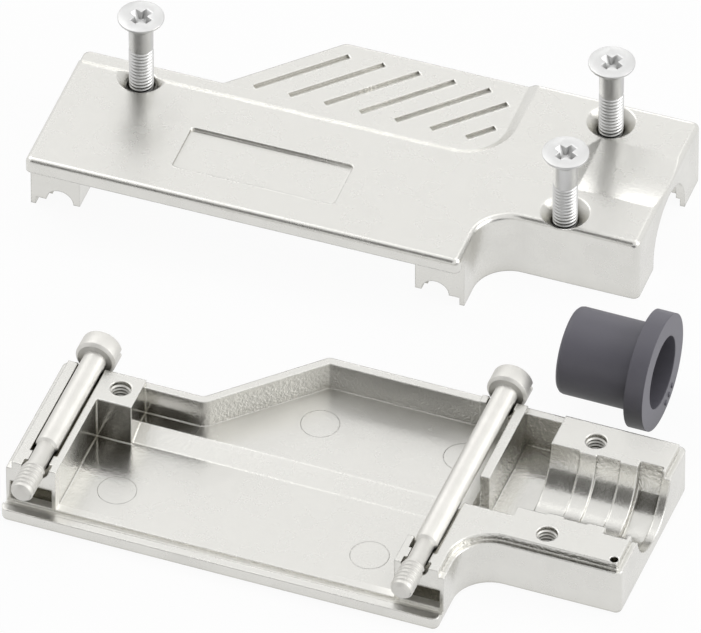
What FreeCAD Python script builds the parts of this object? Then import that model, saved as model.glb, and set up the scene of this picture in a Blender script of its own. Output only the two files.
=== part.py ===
"""Side-entry metal hood for a 25-way D-sub connector, taken apart as a kit on one table plane.

x runs along the connector, y from its face to the back, z up. The pieces are modelled with y from
the front edge of the lower shell, and written with the origin at the seat of the connector flange:
on the table, midway between the two jackscrews.
"""
import FreeCAD, Part
import math
import os
from FreeCAD import Placement, Rotation, Vector

os.makedirs("parts", exist_ok=True)

# Connector that the hood closes round
jack_spacing = 47.04
flange_length = 53.04
flange_height = 12.55
flange_thickness = 1.0
flange_clearance = 0.1

# Outline of the hood, seen from above
end_margin = 0.63
side_depth = 21.4
full_depth = 32.8
slope_offset = 17.35
neck_reach = 18.95
neck_width = 22.85
neck_fillet = 4.5
corner_radius = 0.8

# Thickness and walls
hood_thickness = 15.4
skirt_overlap = 1.1
pad_clearance = 0.1
wall = 1.0
skirt = 0.6
skirt_clearance = 0.1
edge_radius = 0.7
lip_depth = 1.1
lip_height = 1.9
floor = 1.7

# Grip zone: a shallow step over the back of both shells, followed by the floor inside
grip_depth = 1.0
grip_slope = 1.4
grip_front = 18.2
grip_right = 26.0
grip_radius = 5.0
ramp_front = 16.1
ramp_run = 2.6
groove_count = 7
groove_pitch = 4.44
groove_start = -6.4
groove_margin = 3.1
groove_run = 8.8
groove_lead = 0.9
groove_width = 0.9
groove_depth = 0.35

# Label recess on the upper shell
label_length = 20.3
label_width = 7.2
label_depth = 0.35
label_x = -0.2
label_y = 8.3
label_radius = 0.5

# Shallow trough over the neck of the upper shell
trough_width = 9.4
trough_depth = 0.35
trough_front = 34.0
trough_run_in = 2.0

# Jackscrews, 4-40 thread
shank_radius = 1.4
neck_radius = 1.1
thread_radius = 1.42
thread_length = 4.8
thread_reach = 2.7
relief_length = 3.6
jack_head_radius = 2.5
jack_head_length = 2.8
jack_slot_width = 0.8
jack_slot_depth = 1.2
jack_chamfer = 0.35
head_gap = 0.2
channel_clearance = 0.3
retainer_clearance = 0.2
retainer_gap = 1.2
retainer_length = 1.6
channel_rib = 0.82
ear_pocket_height = 2.9
ear_pocket_depth = 2.8
ear_stub_length = 4.6

# Cover screws, M3 countersunk
screw_radius = 1.5
screw_length = 12.0
screw_head_radius = 2.8
screw_head_rim = 0.3
recess_width = 0.8
recess_reach = 1.6
recess_depth = 1.1
tap_radius = 1.25
tap_depth = 5.4
hole_clearance = 0.15
sink_clearance = 0.15
outlet_screw_front = 8.85
outlet_screw_back = 7.85
outlet_screw_inset = 10.0
boss_screw_x = -19.0
boss_screw_inset = 3.1
boss_width = 4.3
boss_depth = 5.7
seat_depth = 2.4

# Cable outlet and its bush
bush_radius = 5.3
bush_bore_radius = 4.45
bush_length = 11.6
bush_flange_radius = 7.15
bush_flange_length = 2.3
bush_end_radius = 0.7
bush_clearance = 0.15
outlet_relief = 0.3
outlet_groove = 0.75
outlet_lip = 1.1
outlet_groove_width = 2.9
outlet_rib_width = 2.2
outlet_relief_width = 2.9
outlet_inner_rib = 2.1
outlet_mouth = 3.6
pin_hole_radius = 0.5
pin_hole_inset = 1.25

# Wire passage from the connector to the outlet
passage_front = 14.1
passage_rib = 1.2
passage_rib_front = 19.0
saddle_depth = 1.9

# Places of the loose pieces on the table
upper_shift_x = -16.2
upper_gap = 17.8
upper_turn = 1.0
bush_x = 39.2
bush_gap = 10.6

hood_width = flange_length + 2 * end_margin
side_x = hood_width / 2
jack_x = jack_spacing / 2
neck_end = side_x + neck_reach
neck_front = full_depth - neck_width
outlet_y = neck_front + neck_width / 2
upper_shift_y = full_depth + upper_gap
bush_y = full_depth + bush_gap
half = hood_thickness / 2
lower_pad = half - pad_clearance
lower_rim = half - skirt_overlap
upper_rim = hood_thickness - lower_rim
slot_floor = half - flange_height / 2 - flange_clearance
slot_back = lip_depth + flange_thickness + flange_clearance
channel_radius = shank_radius + channel_clearance
retainer_radius = neck_radius + retainer_clearance
retainer_front = thread_length - thread_reach + retainer_gap
ear_inner = jack_x - channel_radius - channel_rib
passage_left = jack_x + channel_radius + 2 * pad_clearance
passage_right = passage_left + passage_rib
outlet_front = neck_end - (outlet_lip + outlet_groove_width + outlet_rib_width
                           + outlet_relief_width + outlet_inner_rib + outlet_mouth)
screw_places = {"left": (boss_screw_x, side_depth - boss_screw_inset),
                "back_right": (neck_end - outlet_screw_inset, outlet_y + outlet_screw_back),
                "front_right": (neck_end - outlet_screw_inset, outlet_y - outlet_screw_front)}
far = 2 * hood_thickness


def box(x0, x1, y0, y1, z0, z1):
    return Part.makeBox(x1 - x0, y1 - y0, z1 - z0, Vector(x0, y0, z0))


def rod(radius, start, direction, length):
    return Part.makeCylinder(radius, length, Vector(*start), Vector(*direction))


def turned(profile, axis):
    """Revolve (along, radius) points about the z axis, then point z along the given axis."""
    points = [Vector(radius, 0, along) for along, radius in profile]
    face = Part.Face(Part.makePolygon(points + points[:1]))
    solid = face.revolve(Vector(0, 0, 0), Vector(0, 0, 1), 360)
    solid.Placement = Placement(Vector(), Rotation(Vector(0, 0, 1), Vector(*axis)))
    return solid


def inset_corners(corners, inset):
    """Move every edge of an anticlockwise outline inwards and give its corners and radii."""
    moved = []
    for index, (x, y, radius) in enumerate(corners):
        before = corners[index - 1]
        after = corners[(index + 1) % len(corners)]
        into = Vector(x - before[0], y - before[1], 0).normalize()
        away = Vector(after[0] - x, after[1] - y, 0).normalize()
        turn = into.cross(away).z
        normal = Vector(-into.y - away.y, into.x + away.x, 0).normalize()
        reach = inset / normal.dot(Vector(-into.y, into.x, 0))
        round_by = radius - inset if turn > 0 else radius + inset
        moved.append((x + normal.x * reach, y + normal.y * reach, max(round_by, 0)))
    return moved


def rounded_face(corners, height):
    """Face bounded by straight edges, with an arc at each corner that has a radius."""
    ends = []
    for index, (x, y, radius) in enumerate(corners):
        here = Vector(x, y, height)
        before = corners[index - 1]
        after = corners[(index + 1) % len(corners)]
        back = (Vector(before[0], before[1], height) - here).normalize()
        ahead = (Vector(after[0], after[1], height) - here).normalize()
        opening = back.getAngle(ahead) / 2
        setback = radius / math.tan(opening)
        bisector = (back + ahead).normalize()
        middle = here + bisector * (radius / math.sin(opening) - radius)
        ends.append((here + back * setback, middle, here + ahead * setback, radius > 0))
    edges = []
    for index, (entry, middle, leave, is_round) in enumerate(ends):
        if is_round:
            edges.append(Part.Arc(entry, middle, leave).toShape())
        following = ends[(index + 1) % len(ends)][0]
        edges.append(Part.LineSegment(leave, following).toShape())
    return Part.Face(Part.Wire(edges))


def hood_corners(inset):
    slope_x = slope_offset - side_x
    corners = [(-side_x, 0, corner_radius),
               (side_x, 0, corner_radius),
               (side_x, neck_front, neck_fillet),
               (neck_end, neck_front, corner_radius),
               (neck_end, full_depth, corner_radius),
               (slope_x + full_depth - side_depth, full_depth, corner_radius),
               (slope_x, side_depth, corner_radius),
               (-side_x, side_depth, corner_radius)]
    return inset_corners(corners, inset)


def hood_prism(inset, z0, z1):
    return rounded_face(hood_corners(inset), z0).extrude(Vector(0, 0, z1 - z0))


def outer_block(rim):
    """Solid outline of one half with its outer edges rounded; the outer face is at z = 0."""
    block = hood_prism(0, 0, rim)
    edges = [edge for edge in block.Edges if edge.BoundBox.ZMax < edge_radius / 2]
    return block.makeFillet(edge_radius, edges)


def grip_step():
    """Tool for the shallow step over the back: it widens by the slope towards the outer face."""
    def outline(grow, height):
        left, back = -side_x - wall, full_depth + wall
        front, right = grip_front + grip_slope - grow, grip_right - grip_slope + grow
        corners = [(left, front, 0), (right, front, grip_radius + grow),
                   (right, back, 0), (left, back, 0)]
        return rounded_face(corners, height).OuterWire
    tool = Part.makeLoft([outline(grip_slope, 0), outline(0, grip_depth)], True)
    spare = Part.Face(outline(grip_slope, -wall)).extrude(Vector(0, 0, wall))
    return tool.fuse(spare)


def pads():
    """Blocks that stand up to the middle plane: ears, screw boss, passage rib, saddle and neck."""
    plan = [(-side_x, -ear_inner, slot_back, side_depth),
            (-ear_inner, boss_width - ear_inner, side_depth - boss_depth, side_depth),
            (ear_inner, jack_x, slot_back, slot_back + ear_stub_length),
            (jack_x, outlet_front, slot_back, passage_front),
            (passage_left, passage_right, passage_rib_front, full_depth),
            (ear_inner, passage_right, full_depth - saddle_depth, full_depth),
            (outlet_front, neck_end, neck_front, full_depth)]
    blocks = [box(x0, x1, y0, y1, 0, half) for x0, x1, y0, y1 in plan]
    return blocks[0].multiFuse(blocks[1:]).removeSplitter()


def cavity():
    """Hollow inside the walls, with its floor stepped up behind a ramp under the grip zone."""
    hollow = hood_prism(wall, floor, far).cut(box(-far * 2, far * 2, -wall, lip_depth, 0, far))
    back_floor = floor + grip_depth
    ramp_end = ramp_front + ramp_run
    profile = [Vector(-side_x, ramp_front, 0), Vector(-side_x, ramp_front, floor),
               Vector(-side_x, ramp_end, back_floor), Vector(-side_x, full_depth, back_floor),
               Vector(-side_x, full_depth, 0)]
    ramp = Part.Face(Part.makePolygon(profile + profile[:1]))
    ramp = ramp.extrude(Vector(passage_right + side_x, 0, 0))
    blocks = pads()
    above = blocks.common(box(-far * 2, far * 2, 0, far * 2, half - wall, half))
    above.translate(Vector(0, 0, wall))
    return hollow.cut(ramp).cut(blocks.fuse(above))


def channel(x, y0, y1, radius):
    """Half-round seat along y at the middle plane, open towards the other half."""
    seat = rod(radius, (x, y0, half), (0, 1, 0), y1 - y0)
    return seat.fuse(box(x - radius, x + radius, y0, y1, half, far))


def jack_channels():
    """Seats of both jackscrews, narrowed by a rib that keeps the thread from sliding out."""
    tools = []
    for x in (-jack_x, jack_x):
        tools.append(channel(x, 0, retainer_front, channel_radius))
        tools.append(channel(x, retainer_front, retainer_front + retainer_length, retainer_radius))
        tools.append(channel(x, retainer_front + retainer_length, full_depth + wall, channel_radius))
    return tools


def outlet():
    """Stepped half-round seat of the cable bush, from the end of the neck to the wire passage."""
    rib_radius = bush_radius + bush_clearance
    relief_radius = rib_radius + outlet_relief
    steps = [(outlet_lip, relief_radius), (outlet_groove_width, relief_radius + outlet_groove),
             (outlet_rib_width, rib_radius), (outlet_relief_width, relief_radius),
             (outlet_inner_rib, rib_radius), (outlet_mouth, relief_radius)]
    tools = []
    x = neck_end
    for width, radius in steps:
        spare = wall if x == neck_end else 0
        seat = rod(radius, (x - width, outlet_y, half), (1, 0, 0), width + spare)
        gap = box(x - width, x + spare, outlet_y - radius, outlet_y + radius, half, far)
        tools.append(seat.fuse(gap))
        x -= width
    return tools


def connector_slot():
    """Front opening above the lip, and the slot behind the lip that holds the connector flange."""
    reach = side_x + wall
    mouth = box(-reach, reach, -wall, slot_back, lip_height, far)
    slot = box(-reach, reach, lip_depth, slot_back, slot_floor, far)
    return [mouth, slot]


def ear_pockets():
    """Cored pockets low in the front faces of both ears."""
    tools = []
    for side in (-1, 1):
        middle = side * (ear_inner + side_x) / 2
        reach = (side_x - ear_inner) / 2 - wall / 2
        tools.append(box(middle - reach, middle + reach, slot_back, slot_back + ear_pocket_depth,
                         floor, floor + ear_pocket_height))
    return tools


def without(shape, tools):
    return shape.cut(tools[0].multiFuse(tools[1:]) if len(tools) > 1 else tools[0])


def half_shell(rim):
    """What both halves share, as a half with its outer face at z = 0."""
    shell = outer_block(rim).cut(grip_step()).cut(cavity())
    return without(shell, connector_slot())


def lower_shell():
    tongue = pads().common(hood_prism(skirt + skirt_clearance, lower_rim - wall, lower_pad))
    shell = half_shell(lower_rim).fuse(tongue)
    shell = without(shell, jack_channels() + outlet() + ear_pockets())
    holes = [rod(tap_radius, (x, y, lower_pad - tap_depth), (0, 0, 1), tap_depth + wall)
             for x, y in screw_places.values()]
    pin = pin_hole_inset
    pin_start = (neck_end - pin, neck_front + pin, half - 2 * wall)
    holes.append(rod(pin_hole_radius, pin_start, (0, 0, 1), far))
    return without(shell, holes).removeSplitter()


def grip_grooves():
    """Diagonal notches in the grip zone, each with one steep flank and one that runs out.

    The last ones stop short at the right end of the zone."""
    tools = []
    limit = grip_right - groove_margin
    top, bottom = grip_depth - wall, grip_depth + groove_depth
    for index in range(groove_count):
        start = Vector(groove_start + index * groove_pitch, side_depth + groove_lead, 0)
        run = min(groove_run, limit - start.x)
        if run <= 0:
            continue
        across = Vector(1, -1, 0).normalize() * groove_width
        overshoot = across * (1 + wall / groove_depth)
        profile = [start + Vector(0, 0, top), start + Vector(0, 0, bottom),
                   start + overshoot + Vector(0, 0, top)]
        tools.append(Part.Face(Part.makePolygon(profile + profile[:1])).extrude(Vector(run, run, 0)))
    return tools


def neck_trough():
    """Shallow trough along the top of the neck, with a short slope where it starts."""
    radius = (trough_width ** 2 / 4 + trough_depth ** 2) / (2 * trough_depth)
    start = trough_front + trough_run_in
    axis_z = trough_depth - radius
    long_part = rod(radius, (start, outlet_y, axis_z), (1, 0, 0), neck_end + wall - start)
    slope = Part.makeCone(radius - trough_depth, radius, trough_run_in,
                          Vector(trough_front, outlet_y, axis_z), Vector(1, 0, 0))
    return long_part.fuse(slope)


def label_recess():
    x0, x1 = label_x - label_length / 2, label_x + label_length / 2
    y0, y1 = label_y - label_width / 2, label_y + label_width / 2
    corners = [(x, y, label_radius) for x, y in ((x0, y0), (x1, y0), (x1, y1), (x0, y1))]
    return rounded_face(corners, -wall).extrude(Vector(0, 0, wall + label_depth))


def countersunk_hole(x, y):
    radius = screw_radius + hole_clearance
    top = screw_head_radius + sink_clearance
    hole = rod(radius, (x, y, -wall), (0, 0, 1), far)
    cone = Part.makeCone(top + wall, radius, top + wall - radius, Vector(x, y, -wall), Vector(0, 0, 1))
    return hole.fuse(cone)


def upper_shell():
    """Upper half, modelled like the lower one, then turned over and set on its rim."""
    shell = half_shell(upper_rim).cut(hood_prism(skirt, half, far))
    shell = without(shell, jack_channels() + outlet())
    shell = without(shell, [countersunk_hole(x, y) for x, y in screw_places.values()])
    shell = without(shell, grip_grooves() + [label_recess(), neck_trough()]).removeSplitter()
    shell = shell.mirror(Vector(0, 0, half), Vector(0, 0, 1))
    return on_table(shell)


def on_table(shape):
    """Place a piece of the closed hood with the upper shell, which stands apart on its rim."""
    move = Vector(upper_shift_x, upper_shift_y, -lower_rim)
    placed = shape.copy()
    placed.Placement = Placement(move, Rotation(Vector(0, 0, 1), upper_turn)).multiply(placed.Placement)
    return placed


def jackscrew(x, back_edge):
    """Slotted knob head, shank, thin neck and free thread; the tip points out of the front."""
    tip = -thread_reach
    thread_end = tip + thread_length
    shank_start = thread_end + relief_length
    head_start = back_edge + head_gap
    head_end = head_start + jack_head_length
    profile = [(tip, 0), (tip, thread_radius - jack_chamfer), (tip + jack_chamfer, thread_radius),
               (thread_end, thread_radius), (thread_end, neck_radius),
               (shank_start, neck_radius), (shank_start, shank_radius - jack_chamfer),
               (shank_start + jack_chamfer, shank_radius), (head_start, shank_radius),
               (head_start, jack_head_radius - jack_chamfer),
               (head_start + jack_chamfer, jack_head_radius),
               (head_end - jack_chamfer, jack_head_radius),
               (head_end, jack_head_radius - jack_chamfer), (head_end, 0)]
    screw = turned(profile, (0, 1, 0))
    slot = box(-jack_head_radius, jack_head_radius, head_end - jack_slot_depth, head_end + wall,
               -jack_slot_width / 2, jack_slot_width / 2)
    screw = screw.cut(slot)
    screw.translate(Vector(x, 0, half))
    return screw


def cover_screw(x, y):
    """Countersunk screw with a cross recess, standing with its tip in its hole of the upper shell."""
    cone = screw_head_radius - screw_radius
    profile = [(0, 0), (0, screw_radius - jack_chamfer), (jack_chamfer, screw_radius),
               (screw_length - screw_head_rim - cone, screw_radius),
               (screw_length - screw_head_rim, screw_head_radius),
               (screw_length, screw_head_radius), (screw_length, 0)]
    screw = turned(profile, (0, 0, 1))
    low = screw_length - recess_depth
    blade = recess_width / 2
    cross = box(-recess_reach, recess_reach, -blade, blade, low, screw_length + wall)
    cross = cross.fuse(box(-blade, blade, -recess_reach, recess_reach, low, screw_length + wall))
    cross.rotate(Vector(0, 0, 0), Vector(0, 0, 1), 45)
    screw = screw.cut(cross)
    screw.translate(Vector(x, y, hood_thickness - seat_depth))
    return on_table(screw)


def cable_bush():
    """Flanged plastic bush, lying level behind the neck with its flange towards +x."""
    inner = bush_flange_length - bush_length
    profile = [(inner, bush_bore_radius)]
    for angle in (0, 30, 60, 90):
        along, out = 1 - math.cos(math.radians(angle)), 1 - math.sin(math.radians(angle))
        profile.append((inner + bush_end_radius * along, bush_radius - bush_end_radius * out))
    profile += [(0, bush_radius), (0, bush_flange_radius),
                (bush_flange_length, bush_flange_radius), (bush_flange_length, bush_bore_radius)]
    bush = turned(profile, (1, 0, 0))
    bush.translate(Vector(bush_x - bush_flange_length, bush_y, bush_flange_radius))
    return bush


pieces = {"lower_shell": lower_shell(),
          "upper_shell": upper_shell(),
          "left_jackscrew": jackscrew(-jack_x, side_depth),
          "right_jackscrew": jackscrew(jack_x, full_depth),
          "cable_bush": cable_bush()}
for place, (screw_x, screw_y) in screw_places.items():
    pieces["cover_screw_" + place] = cover_screw(screw_x, screw_y)

for name, shape in pieces.items():
    shape.translate(Vector(0, -slot_back, 0))
    shape.exportStep("parts/" + name + ".step")
    size = shape.BoundBox
    print(name, shape.isValid(), len(shape.Solids), round(shape.Volume, 2),
          [round(v, 2) for v in (size.XMin, size.YMin, size.ZMin, size.XMax, size.YMax, size.ZMax)])
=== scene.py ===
"""Looks of a side-entry metal connector hood, laid out open with its screws and cable bush."""
import math

import bpy
from mathutils import Matrix, Vector


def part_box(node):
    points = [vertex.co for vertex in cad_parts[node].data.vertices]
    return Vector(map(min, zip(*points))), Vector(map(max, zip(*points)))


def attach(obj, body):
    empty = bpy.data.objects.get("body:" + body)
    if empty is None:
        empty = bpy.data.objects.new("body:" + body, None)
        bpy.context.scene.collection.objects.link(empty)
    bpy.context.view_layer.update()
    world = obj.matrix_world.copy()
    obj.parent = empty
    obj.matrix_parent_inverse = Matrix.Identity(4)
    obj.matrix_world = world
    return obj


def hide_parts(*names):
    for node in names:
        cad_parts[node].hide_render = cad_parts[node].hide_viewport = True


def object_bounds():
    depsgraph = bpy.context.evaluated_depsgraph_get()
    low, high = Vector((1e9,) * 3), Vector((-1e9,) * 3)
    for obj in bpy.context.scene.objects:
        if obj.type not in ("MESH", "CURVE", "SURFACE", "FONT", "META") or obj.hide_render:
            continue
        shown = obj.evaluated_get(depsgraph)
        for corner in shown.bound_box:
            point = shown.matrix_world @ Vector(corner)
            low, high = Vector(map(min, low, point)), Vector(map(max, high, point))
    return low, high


bl_info = {
    "name": "Connector hood kit",
    "version": (1, 0, 0),
    "blender": (4, 5, 0),
    "location": "View3D > Sidebar > Hood",
    "description": "Dresses the cast shells, screws and bush of a connector hood",
    "category": "Object",
}

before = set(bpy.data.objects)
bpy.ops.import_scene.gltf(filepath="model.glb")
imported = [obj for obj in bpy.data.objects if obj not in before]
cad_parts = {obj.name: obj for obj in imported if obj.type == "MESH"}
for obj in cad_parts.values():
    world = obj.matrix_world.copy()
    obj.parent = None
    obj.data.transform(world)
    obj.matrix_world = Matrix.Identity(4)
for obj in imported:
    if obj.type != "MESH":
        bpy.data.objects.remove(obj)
cad_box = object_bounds()
MM = 0.001
shell_low, shell_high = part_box("lower_shell")

# Zones of the lower shell, in millimetres right of the origin or behind its front edge
GRAIN_STARTS, GRAIN_FULL = -13.0, -5.0
NECK_STARTS = 24.5
RAISED_STARTS = 17.9
SLOT_ENDS = 3.3
# A face whose normal rises or falls by less than this share is a wall
WALL_RISE = 0.55

# Floors of the lower shell, in millimetres above the table, less the rings' bedding
FLOOR, RAISED_FLOOR = 1.69, 2.69
# Ejector marks: right of the origin, behind the front edge, floor
EJECTOR_PLACES = ((-15.5, 7.8, FLOOR), (15.9, 7.8, FLOOR),
                  (3.1, 25.7, RAISED_FLOOR), (20.7, 26.2, RAISED_FLOOR))

# Tapped holes, in millimetres: the left one from the origin and the front edge, the right ones
# from the neck's end and from the outlet's middle
BOSS_HOLE_X, BOSS_HOLE_BACK = -19.0, 18.3
NECK_HOLES_FROM_END = 10.0
OUTLET_MIDDLE = 21.375
NECK_HOLE_BEHIND, NECK_HOLE_BEFORE = 7.85, 8.85

# Middle part of a noise's range
NOISE_LOW, NOISE_HIGH = 0.3, 0.7

# Lamps: azimuth and elevation in degrees, distance and size in metres, power in watts
LAMPS = (("left lamp", -115, 50, 0.6, 0.35, 0.7),
         ("right lamp", 98, 22, 0.6, 0.4, 1.5),
         ("back lamp", 150, 60, 0.7, 0.4, 0.4),
         ("low lamp", 196, 24, 0.9, 0.2, 0.25))


class HoodShellLook(bpy.types.PropertyGroup):
    nickel: bpy.props.FloatVectorProperty(
        name="Nickel", description="Colour of the satin nickel plate",
        subtype="COLOR", size=4, default=(0.73, 0.722, 0.69, 1.0))
    # Painted shade: this colour is mixed into the plate where the corner mask finds inside
    # corners, standing in for the shade that falls there.
    shade: bpy.props.FloatVectorProperty(
        name="Corner shade", description="Colour that gathers in inside corners",
        subtype="COLOR", size=4, default=(0.30, 0.285, 0.235, 1.0))
    polish: bpy.props.FloatProperty(
        name="Polish", description="Roughness of the plated outside",
        default=0.27, min=0.0, max=1.0)
    inside_grain: bpy.props.FloatProperty(
        name="Inside grain", description="Depth of the cast grain inside, in millimetres",
        default=0.24, min=0.0)
    soft_edge: bpy.props.FloatProperty(
        name="Soft edge", description="Radius of the cast edges, in millimetres",
        default=0.3, min=0.0)
    ring_radius: bpy.props.FloatProperty(
        name="Ejector mark", description="Radius of the ejector marks, in millimetres",
        default=2.3, min=0.1)
    tap_pitch: bpy.props.FloatProperty(
        name="Tapped pitch", description="Pitch of the tapped holes, in millimetres",
        default=0.5)


class HoodScrewLook(bpy.types.PropertyGroup):
    plate: bpy.props.FloatVectorProperty(
        name="Jackscrew plate", description="Colour of the jackscrews",
        subtype="COLOR", size=4, default=(0.67, 0.66, 0.63, 1.0))
    zinc: bpy.props.FloatVectorProperty(
        name="Zinc", description="Colour of the cover screws",
        subtype="COLOR", size=4, default=(0.64, 0.64, 0.635, 1.0))
    jack_pitch: bpy.props.FloatProperty(
        name="Jackscrew pitch", description="Pitch of the 4-40 thread, in millimetres",
        default=0.635)
    cover_pitch: bpy.props.FloatProperty(
        name="Cover screw pitch", description="Pitch of the M3 thread, in millimetres",
        default=0.5)


class HoodBushLook(bpy.types.PropertyGroup):
    plastic: bpy.props.FloatVectorProperty(
        name="Plastic", description="Colour of the cable bush",
        subtype="COLOR", size=4, default=(0.108, 0.105, 0.125, 1.0))
    matt: bpy.props.FloatProperty(
        name="Matt", description="Roughness of the moulded plastic",
        default=0.46, min=0.0, max=1.0)


class HoodStageLook(bpy.types.PropertyGroup):
    azimuth: bpy.props.FloatProperty(
        name="Azimuth", description="Direction the camera looks from",
        subtype="ANGLE", default=math.radians(20.41))
    elevation: bpy.props.FloatProperty(
        name="Elevation", description="Height of the camera above the horizon",
        subtype="ANGLE", default=math.radians(42.96))
    lens: bpy.props.FloatProperty(
        name="Lens", description="Focal length, in millimetres", default=1104.3, min=1.0)
    distance: bpy.props.FloatProperty(
        name="Distance", description="Distance of the camera from its aim, in millimetres",
        default=2500.0)
    aim_right: bpy.props.FloatProperty(
        name="Aim right", description="Aim right of the origin in the picture, in millimetres",
        default=14.64)
    aim_up: bpy.props.FloatProperty(
        name="Aim up", description="Aim above the origin in the picture, in millimetres",
        default=28.78)


def look(name):
    """The looks group of that name, as the sidebar has set it."""
    return getattr(bpy.context.scene, name)


def edit_nothing():
    """Leave edit mode and deselect everything."""
    if bpy.context.object and bpy.context.object.mode != "OBJECT":
        bpy.ops.object.mode_set(mode="OBJECT")
    bpy.ops.object.select_all(action="DESELECT")


def select_only(*pieces):
    edit_nothing()
    for piece in pieces:
        piece.select_set(True)
    bpy.context.view_layer.objects.active = pieces[0]


def named_piece(name):
    """Name the primitive that was just added."""
    piece = bpy.context.object
    piece.name = name
    piece.data.name = name
    return piece


def settle(piece, material, body="root"):
    """Apply the piece's place, give it its finish and let it ride on its body."""
    select_only(piece)
    bpy.ops.object.transform_apply(location=True, rotation=True, scale=True)
    piece.data.materials.clear()
    piece.data.materials.append(material)
    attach(piece, body)


def turned_piece(name, profile, sides=48):
    """Turn a solid about the z axis from (height, radius) steps, one ring after another."""
    edit_nothing()
    height, radius = profile[0]
    bpy.ops.mesh.primitive_circle_add(vertices=sides, radius=radius, fill_type="NGON",
                                      location=(0, 0, height))
    piece = named_piece(name)
    bpy.ops.object.transform_apply(location=True)
    bpy.ops.object.mode_set(mode="EDIT")
    bpy.ops.mesh.select_all(action="SELECT")
    for next_height, next_radius in profile[1:]:
        lift = (0, 0, next_height - height)
        ratio = next_radius / radius
        bpy.ops.mesh.extrude_region_move(TRANSFORM_OT_translate={"value": lift})
        bpy.ops.transform.resize(value=(ratio, ratio, 1), center_override=(0, 0, next_height))
        height, radius = next_height, next_radius
    bpy.ops.mesh.select_all(action="SELECT")
    bpy.ops.mesh.normals_make_consistent(inside=False)
    bpy.ops.object.mode_set(mode="OBJECT")
    return piece


def soften(piece, width, segments=2, angle=35):
    """Round the sharp edges of a piece and smooth what is left."""
    select_only(piece)
    rounding = piece.modifiers.new("Rounding", "BEVEL")
    rounding.width = width
    rounding.segments = segments
    rounding.limit_method = "ANGLE"
    rounding.angle_limit = math.radians(angle)
    rounding.use_clamp_overlap = True
    bpy.ops.object.modifier_apply(modifier=rounding.name)
    bpy.ops.object.shade_smooth_by_angle(angle=math.radians(angle))


def merge_shapes(piece, other, operation):
    """Cut the other shape out of the piece or add it, and delete it."""
    select_only(piece)
    merge = piece.modifiers.new("Merge", "BOOLEAN")
    merge.operation = operation
    merge.solver = "EXACT"
    merge.object = other
    bpy.ops.object.modifier_apply(modifier=merge.name)
    bpy.data.objects.remove(other, do_unlink=True)


def join_pieces(first, *others):
    select_only(first, *others)
    bpy.ops.object.join()
    return first


def flatten(piece, ratios):
    """Press a round primitive into a low bead and smooth it."""
    select_only(piece)
    bpy.ops.object.mode_set(mode="EDIT")
    bpy.ops.mesh.select_all(action="SELECT")
    bpy.ops.transform.resize(value=ratios)
    bpy.ops.object.mode_set(mode="OBJECT")
    bpy.ops.object.shade_smooth()


def resize_corners(piece, chosen, ratios):
    """Resize about their middle the corners whose place passes the test."""
    select_only(piece)
    bpy.ops.object.mode_set(mode="EDIT")
    bpy.ops.mesh.select_mode(type="VERT")
    bpy.ops.mesh.select_all(action="DESELECT")
    bpy.ops.object.mode_set(mode="OBJECT")
    for corner in piece.data.vertices:
        corner.select = chosen(corner.co)
    bpy.ops.object.mode_set(mode="EDIT")
    bpy.ops.transform.resize(value=ratios)
    bpy.ops.object.mode_set(mode="OBJECT")


def copy_at(model, name, place):
    """A copy with its own mesh."""
    piece = model.copy()
    piece.data = model.data.copy()
    piece.name = name
    piece.location = place
    bpy.context.scene.collection.objects.link(piece)
    return piece


def copies_at(model, places, name):
    """One piece of copies of the model at those places; the model itself is removed."""
    copies = [copy_at(model, name, place) for place in places]
    bpy.data.objects.remove(model, do_unlink=True)
    return join_pieces(*copies)


def helix_ridge(name, root, crest, pitch, start, end, steps=28):
    """Ridge of a screw thread about the z axis; in a nut the crest lies inside the root."""
    edit_nothing()
    base = 0.88 * pitch
    crest_share = 0.2
    depth = abs(crest - root)
    bpy.ops.mesh.primitive_plane_add(size=1, rotation=(math.radians(90), 0, 0),
                                     location=((root + crest) / 2, 0, start + base / 2))
    ridge = named_piece(name)
    ridge.scale = (depth, base, 1)
    bpy.ops.object.transform_apply(location=True, rotation=True, scale=True)
    resize_corners(ridge, lambda place: abs(place.x - crest) < depth / 4, (1, 1, crest_share))
    sweep = ridge.modifiers.new("Sweep", "SCREW")
    sweep.axis = "Z"
    sweep.screw_offset = pitch
    sweep.iterations = max(1, int((end - start - base) / pitch))
    sweep.steps = steps
    sweep.render_steps = steps
    sweep.use_normal_calculate = True
    bpy.ops.object.modifier_apply(modifier=sweep.name)
    bpy.ops.object.mode_set(mode="EDIT")
    bpy.ops.mesh.select_all(action="SELECT")
    bpy.ops.mesh.remove_doubles(threshold=1e-7)
    bpy.ops.mesh.select_all(action="DESELECT")
    bpy.ops.mesh.select_non_manifold(extend=False, use_wire=False, use_multi_face=False,
                                     use_non_contiguous=False, use_verts=False)
    bpy.ops.mesh.fill_holes(sides=0)
    bpy.ops.mesh.select_all(action="SELECT")
    bpy.ops.mesh.normals_make_consistent(inside=False)
    bpy.ops.object.mode_set(mode="OBJECT")
    bpy.ops.object.shade_smooth_by_angle(angle=math.radians(30))
    return ridge


def new_group(name, inputs, outputs):
    """A node group with its named sockets, and the values that come in through them."""
    group = bpy.data.node_groups.new(name, "ShaderNodeTree")
    for title, kind, default in inputs:
        socket = group.interface.new_socket(title, in_out="INPUT", socket_type=kind)
        if default is not None:
            socket.default_value = default
    for title in outputs:
        group.interface.new_socket(title, in_out="OUTPUT", socket_type="NodeSocketFloat")
    return group, put(group, "NodeGroupInput").outputs


def close_group(group, results):
    """Send the results to the group's outputs."""
    out = put(group, "NodeGroupOutput")
    for title, result in results.items():
        group.links.new(result, out.inputs[title])
    return group


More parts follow.
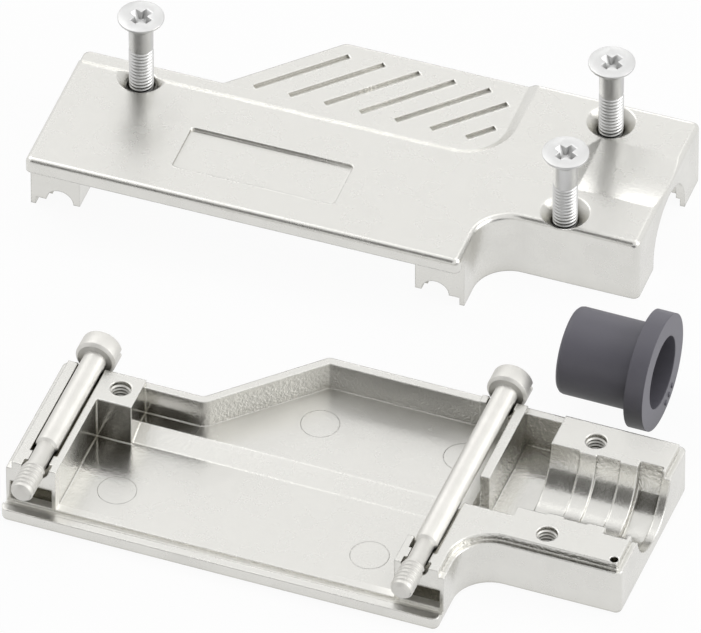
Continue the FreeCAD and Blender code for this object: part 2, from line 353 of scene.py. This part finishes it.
def put(tree, kind, links=None, **values):
    """Add a node, set its properties and link or fill its sockets."""
    node = tree.nodes.new(kind)
    for key, value in values.items():
        setattr(node, key, value)
    for socket, value in (links or {}).items():
        if isinstance(value, bpy.types.NodeSocket):
            tree.links.new(value, node.inputs[socket])
        else:
            node.inputs[socket].default_value = value
    return node


def maths(tree, operation, first, second=0.0):
    """Result of one sum or comparison, 1 where a comparison holds."""
    return put(tree, "ShaderNodeMath", {0: first, 1: second}, operation=operation).outputs[0]


def between(tree, share, first, second):
    """Value between two, by a share of 0 to 1."""
    return put(tree, "ShaderNodeMix", {0: share, 2: first, 3: second}).outputs[0]


def colour_between(tree, share, first, second, blend="MIX"):
    """Colour between two, by a share of 0 to 1."""
    return put(tree, "ShaderNodeMix", {0: share, 6: first, 7: second},
               data_type="RGBA", blend_type=blend).outputs[2]


def mapped(tree, value, low, high, to_low=0.0, to_high=1.0, curve="LINEAR"):
    """Value brought from one range to another and kept within it."""
    return put(tree, "ShaderNodeMapRange",
               {"Value": value, "From Min": low, "From Max": high,
                "To Min": to_low, "To Max": to_high},
               interpolation_type=curve).outputs["Result"]


def cast_grain_group():
    """Fine cast grain and slow mottling, as a height and a mask in 0 to 1."""
    group, given = new_group(
        "Cast grain",
        [("Coordinate", "NodeSocketVector", None), ("Grain size", "NodeSocketFloat", 0.25),
         ("Mottle size", "NodeSocketFloat", 4.0)],
        ["Height", "Mottle"])
    grain = put(group, "ShaderNodeTexNoise", {
        "Vector": given["Coordinate"], "Detail": 3.0,
        "Scale": maths(group, "DIVIDE", 1 / MM, given["Grain size"])})
    mottle = put(group, "ShaderNodeTexNoise", {
        "Vector": given["Coordinate"], "Detail": 4.0, "Roughness": 0.6,
        "Scale": maths(group, "DIVIDE", 1 / MM, given["Mottle size"])})
    return close_group(group, {"Height": grain.outputs["Fac"], "Mottle": mottle.outputs["Fac"]})


def corner_shade_group():
    """Mask of inside corners, where little light comes in, in 0 to 1."""
    group, given = new_group(
        "Corner shade",
        [("Reach", "NodeSocketFloat", 0.004), ("Start", "NodeSocketFloat", 0.25),
         ("Full", "NodeSocketFloat", 0.95)],
        ["Mask"])
    opening = put(group, "ShaderNodeAmbientOcclusion", {"Distance": given["Reach"]}, samples=8)
    closed = maths(group, "SUBTRACT", 1.0, opening.outputs["AO"])
    mask = mapped(group, closed, given["Start"], given["Full"], curve="SMOOTHSTEP")
    return close_group(group, {"Mask": mask})


def finish_zones(group, coordinate):
    """Masks of the grained walls, of the whole eroded part and of the flange slot, in 0 to 1."""
    place = put(group, "ShaderNodeSeparateXYZ", {0: coordinate}).outputs
    normal = put(group, "ShaderNodeNewGeometry").outputs["True Normal"]
    rise = put(group, "ShaderNodeSeparateXYZ", {0: normal}).outputs["Z"]
    wall = maths(group, "LESS_THAN", maths(group, "ABSOLUTE", rise), WALL_RISE)
    past_boss = mapped(group, place["X"], GRAIN_STARTS * MM, GRAIN_FULL * MM,
                       curve="SMOOTHSTEP")
    before_neck = maths(group, "LESS_THAN", place["X"], NECK_STARTS * MM)
    raised = maths(group, "GREATER_THAN", place["Y"], shell_low.y + RAISED_STARTS * MM)
    grained = maths(group, "MULTIPLY", wall, past_boss)
    eroded = maths(group, "MULTIPLY", maths(group, "MAXIMUM", wall, raised),
                   maths(group, "MULTIPLY", past_boss, before_neck))
    slot = maths(group, "LESS_THAN", place["Y"], shell_low.y + SLOT_ENDS * MM)
    return grained, eroded, slot


def hollow_finish_group():
    """Finish of open faces, of polished hollows and of those that spark erosion left grained, and
    the share of painted light in the flange slot's hollows.
    """
    group, given = new_group(
        "Hollow finish",
        [("Coordinate", "NodeSocketVector", None), ("Height", "NodeSocketFloat", 0.5),
         ("Open share", "NodeSocketFloat", 0.1), ("Polished share", "NodeSocketFloat", 0.055),
         ("Roughness", "NodeSocketFloat", 0.3), ("Inside share", "NodeSocketFloat", 0.55),
         ("Eroded roughness", "NodeSocketFloat", 0.5)],
        ["Height", "Roughness", "Painted slot light"])
    reach, open_light, hollow_light = 9 * MM, 0.9, 0.5
    grained, eroded, slot = finish_zones(group, given["Coordinate"])
    opening = put(group, "ShaderNodeAmbientOcclusion", {"Distance": reach}, samples=8,
                  only_local=True)
    hollow = mapped(group, opening.outputs["AO"], open_light, hollow_light)
    inside_share = between(group, grained, given["Polished share"], 1.0)
    share = between(group, hollow, given["Open share"], inside_share)
    height = maths(group, "MULTIPLY", maths(group, "SUBTRACT", given["Height"], 0.5), share)
    polished = maths(group, "MULTIPLY", given["Roughness"], given["Inside share"])
    within = between(group, maths(group, "MAXIMUM", eroded, slot), polished,
                     given["Eroded roughness"])
    rough = between(group, hollow, given["Roughness"], within)
    # The last output is the share of painted light in the flange slot's hollows.
    return close_group(group, {"Height": height, "Roughness": rough,
                               "Painted slot light": maths(group, "MULTIPLY", hollow, slot)})


def groups():
    """The shared node groups, built once."""
    makers = {"Cast grain": cast_grain_group, "Corner shade": corner_shade_group,
              "Hollow finish": hollow_finish_group}
    return {name: bpy.data.node_groups.get(name) or make() for name, make in makers.items()}


def bare_tree(owner):
    """Empty node tree of a material or world."""
    owner.use_nodes = True
    owner.node_tree.nodes.clear()
    return owner.node_tree


def show(tree, shader, output="ShaderNodeOutputMaterial"):
    """Send a shader to the surface."""
    tree.links.new(shader.outputs[0], put(tree, output).inputs["Surface"])


def mixed_shaders(tree, share, first, second):
    return put(tree, "ShaderNodeMixShader",
               {0: share, 1: first.outputs[0], 2: second.outputs[0]})


def group_node(tree, name, values):
    """One of the shared groups, with its own values."""
    return put(tree, "ShaderNodeGroup", values, node_tree=groups()[name])


def finish_start(name):
    """New material with its shader and the place on the piece."""
    material = bpy.data.materials.new(name)
    tree = bare_tree(material)
    shader = put(tree, "ShaderNodeBsdfPrincipled")
    show(tree, shader)
    return material, tree, shader, put(tree, "ShaderNodeTexCoord").outputs["Object"]


def finish_end(tree, shader, colour, roughness, height, soft_edge, strength, depth):
    """Soften the edges, raise the grain and link all of the finish to the shader."""
    edge = put(tree, "ShaderNodeBevel", {"Radius": soft_edge * MM}, samples=6)
    bump = put(tree, "ShaderNodeBump", {"Height": height, "Normal": edge.outputs["Normal"],
                                        "Strength": strength, "Distance": depth * MM})
    tree.links.new(colour, shader.inputs["Base Color"])
    tree.links.new(roughness, shader.inputs["Roughness"])
    tree.links.new(bump.outputs["Normal"], shader.inputs["Normal"])


def metal_material(name, colour, polish, grain_size, grain_depth, soft_edge, shade, shade_reach,
                   shade_start=0.25, open_share=1.0):
    """Plated metal: mottled colour, fine grain, softened edges and painted shade in inside
    corners.

    The open share is how much of the grain's depth is left on faces outside a hollow. Below 1 it
    also brings painted light: the flange slot's hollows are lightened towards a pale colour."""
    mottle, play = 0.06, 0.02
    # Painted light: pale colour that lightens the flange slot's hollows in place of the light that
    # reaches them.
    painted_slot_light = (0.9, 0.89, 0.85, 1.0)
    material, tree, shader, place = finish_start(name)
    grain = group_node(tree, "Cast grain", {"Coordinate": place, "Grain size": grain_size}).outputs
    corner = group_node(tree, "Corner shade",
                        {"Reach": shade_reach * MM, "Start": shade_start}).outputs
    tint = mapped(tree, grain["Mottle"], NOISE_LOW, NOISE_HIGH, 1.0 - mottle, 1.0)
    plate = colour_between(tree, 1.0, colour, tint, blend="MULTIPLY")
    # Painted shade: the plate darkens towards the shade colour in inside corners.
    surface = colour_between(tree, corner["Mask"], plate, shade)
    gloss = mapped(tree, grain["Mottle"], NOISE_LOW, NOISE_HIGH, polish + play, polish - play)
    height = grain["Height"]
    if open_share < 1:
        hollow = group_node(tree, "Hollow finish", {
            "Coordinate": place, "Height": height, "Roughness": gloss,
            "Open share": open_share}).outputs
        height, gloss = hollow["Height"], hollow["Roughness"]
        # Painted light: the flange slot's hollows are lightened towards the pale slot colour.
        surface = colour_between(tree, hollow["Painted slot light"], surface, painted_slot_light)
    finish_end(tree, shader, surface, gloss, height, soft_edge, strength=1.0, depth=grain_depth)
    shader.inputs["Metallic"].default_value = 1.0
    return material


def plastic_material(name, colour, matt):
    """Moulded plastic with a fine matt texture, faint flow marks and painted shade in its bore and
    hollows.
    """
    # Painted shade: the near-black that the bore and other hollows darken towards.
    hollow_shade = (0.01, 0.01, 0.011, 1)
    lighter = [min(1.0, channel * 1.35) for channel in colour[:3]] + [1.0]
    material, tree, shader, place = finish_start(name)
    grain = group_node(tree, "Cast grain", {"Coordinate": place, "Grain size": 0.16,
                                            "Mottle size": 6.0}).outputs
    corner = group_node(tree, "Corner shade", {"Reach": 9 * MM}).outputs
    body = colour_between(tree, grain["Mottle"], colour, lighter)
    # Painted shade: the body darkens towards near-black in the bore and other hollows.
    surface = colour_between(tree, corner["Mask"], body, hollow_shade)
    gloss = mapped(tree, grain["Mottle"], 0.0, 1.0, matt - 0.06, matt + 0.08)
    finish_end(tree, shader, surface, gloss, grain["Height"], soft_edge=0.2, strength=0.7,
               depth=0.012)
    return material


def dress(name, material):
    """Give a CAD piece its finish."""
    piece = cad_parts[name]
    piece.data.materials.clear()
    piece.data.materials.append(material)


class DSUB_OT_shells(bpy.types.Operator):
    """Give both cast shells their nickel plate"""
    bl_idname = "dsub.shells"
    bl_label = "Shells"

    def execute(self, context):
        want = look("hood_shell")
        nickel = metal_material("cast nickel", want.nickel, want.polish, grain_size=0.38,
                                grain_depth=want.inside_grain, soft_edge=want.soft_edge,
                                shade=want.shade, shade_reach=4.0, shade_start=0.35,
                                open_share=0.045)
        for name in ("lower_shell", "upper_shell"):
            dress(name, nickel)
        return {"FINISHED"}


class DSUB_OT_ejector_marks(bpy.types.Operator):
    """Lay the faint rings of the mould's ejector pins on the lower shell"""
    bl_idname = "dsub.ejector_marks"
    bl_label = "Ejector marks"

    def execute(self, context):
        edit_nothing()
        bpy.ops.mesh.primitive_torus_add(
            major_segments=48, minor_segments=8, minor_radius=0.1 * MM,
            major_radius=look("hood_shell").ring_radius * MM)
        ring = named_piece("ejector_ring")
        flatten(ring, (1, 1, 0.12))
        places = [Vector((x, shell_low.y / MM + y, z)) * MM for x, y, z in EJECTOR_PLACES]
        marks = copies_at(ring, places, "ejector_marks")
        settle(marks, bpy.data.materials["cast nickel"])
        return {"FINISHED"}


def jackscrew(name, side, plate, pitch):
    """Slotted head, shank, thin neck and threaded end, built upright and laid along y."""
    low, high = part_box(name)
    length = (high - low).y
    head_radius = (high - low).x / 2
    shank_radius, neck_radius, crest, root = 1.4 * MM, 1.1 * MM, 1.42 * MM, 1.26 * MM
    thread_length, neck_length, head_length = 4.8 * MM, 3.6 * MM, 2.8 * MM
    slot_width, slot_depth = 0.8 * MM, 1.2 * MM
    chamfer, tip_chamfer, step = 0.35 * MM, 0.45 * MM, 0.1 * MM
    bedding, start = 0.03 * MM, 0.25 * MM
    shank_start = thread_length + neck_length
    head_start = length - head_length
    core = turned_piece(name + "_turned", [
        (0, root - tip_chamfer), (chamfer, root), (thread_length - step, root),
        (thread_length, neck_radius), (shank_start, neck_radius),
        (shank_start, shank_radius - chamfer), (shank_start + chamfer, shank_radius),
        (head_start, shank_radius), (head_start, head_radius - chamfer),
        (head_start + chamfer, head_radius), (length - chamfer, head_radius),
        (length, head_radius - chamfer)])
    bpy.ops.mesh.primitive_cube_add(size=1, location=(0, 0, length))
    slot_cutter = bpy.context.object
    slot_cutter.scale = (head_radius * 3, slot_width, slot_depth * 2)
    merge_shapes(core, slot_cutter, "DIFFERENCE")
    soften(core, 0.07 * MM)
    ridge = helix_ridge(name + "_thread", root - bedding, crest, pitch * MM, start,
                        thread_length - step)
    screw = join_pieces(core, ridge)
    screw.rotation_euler = (math.radians(-90), 0, 0)
    screw.location = (side, low.y, (low.z + high.z) / 2)
    settle(screw, plate, name)
    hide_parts(name)


class DSUB_OT_jackscrews(bpy.types.Operator):
    """Make the two jackscrews with their threads and slotted heads"""
    bl_idname = "dsub.jackscrews"
    bl_label = "Jackscrews"

    def execute(self, context):
        want = look("hood_screws")
        # The shade colour is painted shade: the head's slot and the thread's roots darken towards
        # it.
        plate = metal_material("jackscrew nickel", want.plate, polish=0.54, grain_size=0.25,
                               grain_depth=0.02, soft_edge=0.08,
                               shade=(0.10, 0.095, 0.085, 1.0), shade_reach=1.5)
        for name in ("left_jackscrew", "right_jackscrew"):
            low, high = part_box(name)
            jackscrew(name, (low.x + high.x) / 2, plate, want.jack_pitch)
        return {"FINISHED"}


def cross_cutter(top):
    """Tapered four-armed driver, point down, that sinks the cross recess."""
    reach, width, height, above = 3.4 * MM, 1.1 * MM, 1.6 * MM, 0.3 * MM
    turns, point_ratios = (65, 155), (0.42, 0.62, 1)
    arms = []
    for turn in turns:
        bpy.ops.mesh.primitive_cube_add(size=1, location=(0, 0, top - above))
        arm = bpy.context.object
        arm.scale = (reach, width, height)
        bpy.ops.object.transform_apply(location=True, rotation=True, scale=True)
        resize_corners(arm, lambda place: place.z < top - height / 3, point_ratios)
        arm.data.transform(Matrix.Rotation(math.radians(turn), 4, "Z"))
        arms.append(arm)
    merge_shapes(arms[0], arms[1], "UNION")
    return arms[0]


def cover_screw_model(pitch):
    """One countersunk cross-recessed screw, upright with its tip at the origin."""
    length, head_radius, crest, root = 12.0 * MM, 2.8 * MM, 1.5 * MM, 1.36 * MM
    rim, tip_height, tip_chamfer, step = 0.3 * MM, 0.3 * MM, 0.4 * MM, 0.3 * MM
    shank_length, bedding, start = 3.4 * MM, 0.03 * MM, 0.2 * MM
    cone_start = length - rim - (head_radius - crest)
    thread_end = cone_start - shank_length
    core = turned_piece("cover_screw_model", [
        (0, root - tip_chamfer), (tip_height, root), (thread_end, root),
        (thread_end + step, crest - 0.03 * MM), (cone_start - 0.1 * MM, crest - 0.02 * MM),
        (cone_start, crest), (length - rim, head_radius), (length, head_radius)])
    merge_shapes(core, cross_cutter(length), "DIFFERENCE")
    soften(core, 0.09 * MM)
    ridge = helix_ridge("cover_thread", root - bedding, crest, pitch, start, thread_end + step)
    return join_pieces(core, ridge)


class DSUB_OT_cover_screws(bpy.types.Operator):
    """Make one cover screw and stand a copy in each hole of the upper shell"""
    bl_idname = "dsub.cover_screws"
    bl_label = "Cover screws"

    def execute(self, context):
        want = look("hood_screws")
        # The shade colour is painted shade: the cross recess and the thread's roots darken towards
        # it.
        zinc = metal_material("zinc plate", want.zinc, polish=0.42, grain_size=0.1,
                              grain_depth=0.004, soft_edge=0.06,
                              shade=(0.10, 0.10, 0.105, 1.0), shade_reach=1.3,
                              shade_start=0.42)
        model = cover_screw_model(want.cover_pitch * MM)
        for name in ("cover_screw_left", "cover_screw_back_right", "cover_screw_front_right"):
            low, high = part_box(name)
            place = ((low.x + high.x) / 2, (low.y + high.y) / 2, low.z)
            screw = copy_at(model, name + "_turned", place)
            settle(screw, zinc)
            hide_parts(name)
        bpy.data.objects.remove(model, do_unlink=True)
        return {"FINISHED"}


class DSUB_OT_tapped_holes(bpy.types.Operator):
    """Cut the look of an M3 thread into the three tapped holes of the lower shell"""
    bl_idname = "dsub.tapped_holes"
    bl_label = "Tapped holes"

    def execute(self, context):
        want = look("hood_shell")
        # The corner shade colour is painted shade between the tapped thread's turns.
        nickel = metal_material("tapped nickel", want.nickel, polish=0.5, grain_size=0.2,
                                grain_depth=0.01, soft_edge=0.05, shade=want.shade,
                                shade_reach=0.5)
        front = shell_low.y / MM
        right = shell_high.x / MM - NECK_HOLES_FROM_END
        places = {"left": (BOSS_HOLE_X, front + BOSS_HOLE_BACK),
                  "back_right": (right, front + OUTLET_MIDDLE + NECK_HOLE_BEHIND),
                  "front_right": (right, front + OUTLET_MIDDLE - NECK_HOLE_BEFORE)}
        root, crest, depth = 1.3 * MM, 1.06 * MM, 4.5 * MM
        top = shell_high.z - 0.1 * MM
        for name, (x, y) in places.items():
            ridge = helix_ridge("tapped_thread_" + name, root, crest, want.tap_pitch * MM,
                                top - depth, top)
            ridge.location = (x * MM, y * MM, 0)
            settle(ridge, nickel)
        return {"FINISHED"}


class DSUB_OT_bush(bpy.types.Operator):
    """Give the cable bush its matt plastic and the three moulding pips on its flange"""
    bl_idname = "dsub.bush"
    bl_label = "Cable bush"

    def execute(self, context):
        want = look("hood_bush")
        plastic = plastic_material("bush plastic", want.plastic, want.matt)
        dress("cable_bush", plastic)
        low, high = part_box("cable_bush")
        pip_radius, reach, pip_angles = 0.34 * MM, 6.1 * MM, (-56, -67, -78)
        edit_nothing()
        bpy.ops.mesh.primitive_ico_sphere_add(subdivisions=3, radius=pip_radius)
        pip = named_piece("bush_pip")
        flatten(pip, (0.7, 1, 1))
        centre = Vector((high.x, (low.y + high.y) / 2, (low.z + high.z) / 2))
        places = [centre + reach * Vector((0, math.cos(angle), math.sin(angle)))
                  for angle in map(math.radians, pip_angles)]
        marks = copies_at(pip, places, "bush_pips")
        settle(marks, plastic)
        return {"FINISHED"}


def view_axes(azimuth, elevation):
    """Right, up and back of a level view from there, and the turn that faces it."""
    right = Vector((math.cos(azimuth), math.sin(azimuth), 0))
    back = Vector((math.sin(azimuth) * math.cos(elevation),
                   -math.cos(azimuth) * math.cos(elevation), math.sin(elevation)))
    up = back.cross(right)
    return right, up, back, Matrix((right, up, back)).transposed().to_4x4()


def make_camera(want):
    right, up, back, turn = view_axes(want.azimuth, want.elevation)
    data = bpy.data.cameras.new("Camera")
    data.lens = want.lens
    data.sensor_width = 36
    data.clip_start = 0.01
    data.clip_end = 10
    camera = bpy.data.objects.new("Camera", data)
    bpy.context.scene.collection.objects.link(camera)
    aim = right * want.aim_right * MM + up * want.aim_up * MM
    camera.matrix_world = Matrix.Translation(aim + back * want.distance * MM) @ turn
    bpy.context.scene.camera = camera


def make_lamp(name, azimuth, elevation, distance, size, power):
    data = bpy.data.lights.new(name, "AREA")
    data.size = size
    data.energy = power
    lamp = bpy.data.objects.new(name, data)
    bpy.context.scene.collection.objects.link(lamp)
    back, turn = view_axes(math.radians(azimuth), math.radians(elevation))[2:]
    middle = (cad_box[0] + cad_box[1]) / 2
    lamp.matrix_world = Matrix.Translation(middle + back * distance) @ turn


def seen_directly(tree):
    """1 on camera, glossy and transmission rays, which show the white background."""
    path = put(tree, "ShaderNodeLightPath").outputs
    pair = maths(tree, "MAXIMUM", path["Is Camera Ray"], path["Is Glossy Ray"])
    return maths(tree, "MAXIMUM", pair, path["Is Transmission Ray"])


def make_world():
    """White behind the object and a softer white that lights it."""
    world = bpy.data.worlds.new("Studio")
    tree = bare_tree(world)
    light = put(tree, "ShaderNodeBackground", {"Color": (1, 1, 1, 1), "Strength": 0.5})
    white = put(tree, "ShaderNodeBackground", {"Color": (1, 1, 1, 1), "Strength": 1.0})
    show(tree, mixed_shaders(tree, seen_directly(tree), light, white), "ShaderNodeOutputWorld")
    bpy.context.scene.world = world


def make_floor():
    """White table whose shadows stay faint."""
    glow_share, drop = 0.94, 0.02 * MM
    edit_nothing()
    bpy.ops.mesh.primitive_plane_add(size=6, location=(0, 0, -drop))
    floor = named_piece("floor")
    material = bpy.data.materials.new("white table")
    tree = bare_tree(material)
    paint = put(tree, "ShaderNodeBsdfDiffuse", {"Color": (0.92, 0.92, 0.92, 1)})
    glow = put(tree, "ShaderNodeEmission", {"Color": (1, 1, 1, 1), "Strength": 1.0})
    share = maths(tree, "MULTIPLY", seen_directly(tree), glow_share)
    show(tree, mixed_shaders(tree, share, paint, glow))
    floor.data.materials.append(material)


def make_dark_card(name, azimuth, elevation, distance, width, height, hollows_only):
    """Dark studio wall far off on the photographer's side, which no camera sees directly.

    Polished corners mirror it. With hollows_only it is a painted shade: faces that mirror it
    straight see through it, and only rays that have already mirrored twice, in polished hollows,
    see it dark."""
    back, turn = view_axes(math.radians(azimuth), math.radians(elevation))[2:]
    edit_nothing()
    bpy.ops.mesh.primitive_plane_add(size=1)
    card = named_piece(name)
    card.matrix_world = (Matrix.Translation(back * distance) @ turn
                         @ Matrix.Diagonal((width, height, 1, 1)))
    card.visible_camera = False
    material = bpy.data.materials.new(name)
    tree = bare_tree(material)
    shown = put(tree, "ShaderNodeEmission", {"Color": (0.045, 0.042, 0.034, 1), "Strength": 1.0})
    # Painted shade: see-through until a ray has mirrored twice, so only polished hollows mirror it
    # dark.
    if hollows_only:
        bounces = put(tree, "ShaderNodeLightPath").outputs["Glossy Depth"]
        clear = put(tree, "ShaderNodeBsdfTransparent")
        shown = mixed_shaders(tree, maths(tree, "GREATER_THAN", bounces, 1.5), clear, shown)
    show(tree, shown)
    card.data.materials.append(material)


class DSUB_OT_stage(bpy.types.Operator):
    """Set up the camera, the lamps, the white table, a dark studio wall, a dark sheet that paints
    shade into polished hollows, and the world
    """
    bl_idname = "dsub.stage"
    bl_label = "Stage"

    def execute(self, context):
        make_camera(look("hood_stage"))
        make_world()
        make_floor()
        make_dark_card("dark strip", azimuth=-18, elevation=42, distance=2.8, width=1.0,
                       height=2.5, hollows_only=False)
        # Painted shade: a dark sheet that only rays mirrored twice see, which darkens polished
        # hollows.
        make_dark_card("painted hollow shade", azimuth=-13, elevation=42, distance=2.85, width=3.6,
                       height=2.5, hollows_only=True)
        for lamp in LAMPS:
            make_lamp(*lamp)
        context.scene.view_settings.view_transform = "Standard"
        return {"FINISHED"}


class DSUB_PT_hood(bpy.types.Panel):
    """Lists the hood's pieces and their looks"""
    bl_label = "Connector hood"
    bl_idname = "DSUB_PT_hood"
    bl_space_type = "VIEW_3D"
    bl_region_type = "UI"
    bl_category = "Hood"

    def draw(self, context):
        for operator in OPERATORS:
            self.layout.operator(operator.bl_idname)
        for name, group in LOOKS.items():
            for key in group.__annotations__:
                self.layout.prop(getattr(context.scene, name), key)


OPERATORS = (DSUB_OT_stage, DSUB_OT_shells, DSUB_OT_ejector_marks, DSUB_OT_jackscrews,
             DSUB_OT_cover_screws, DSUB_OT_tapped_holes, DSUB_OT_bush)
LOOKS = {"hood_shell": HoodShellLook, "hood_screws": HoodScrewLook,
         "hood_bush": HoodBushLook, "hood_stage": HoodStageLook}


def register():
    for name, group in LOOKS.items():
        bpy.utils.register_class(group)
        setattr(bpy.types.Scene, name, bpy.props.PointerProperty(type=group))
    for operator in OPERATORS:
        bpy.utils.register_class(operator)
    bpy.utils.register_class(DSUB_PT_hood)


def unregister():
    bpy.utils.unregister_class(DSUB_PT_hood)
    for operator in reversed(OPERATORS):
        bpy.utils.unregister_class(operator)
    for name, group in reversed(LOOKS.items()):
        delattr(bpy.types.Scene, name)
        bpy.utils.unregister_class(group)


def main():
    register()
    bpy.ops.dsub.stage()
    bpy.ops.dsub.shells()
    bpy.ops.dsub.ejector_marks()
    bpy.ops.dsub.jackscrews()
    bpy.ops.dsub.cover_screws()
    bpy.ops.dsub.tapped_holes()
    bpy.ops.dsub.bush()
    edit_nothing()


if __name__ == "__main__":
    main()
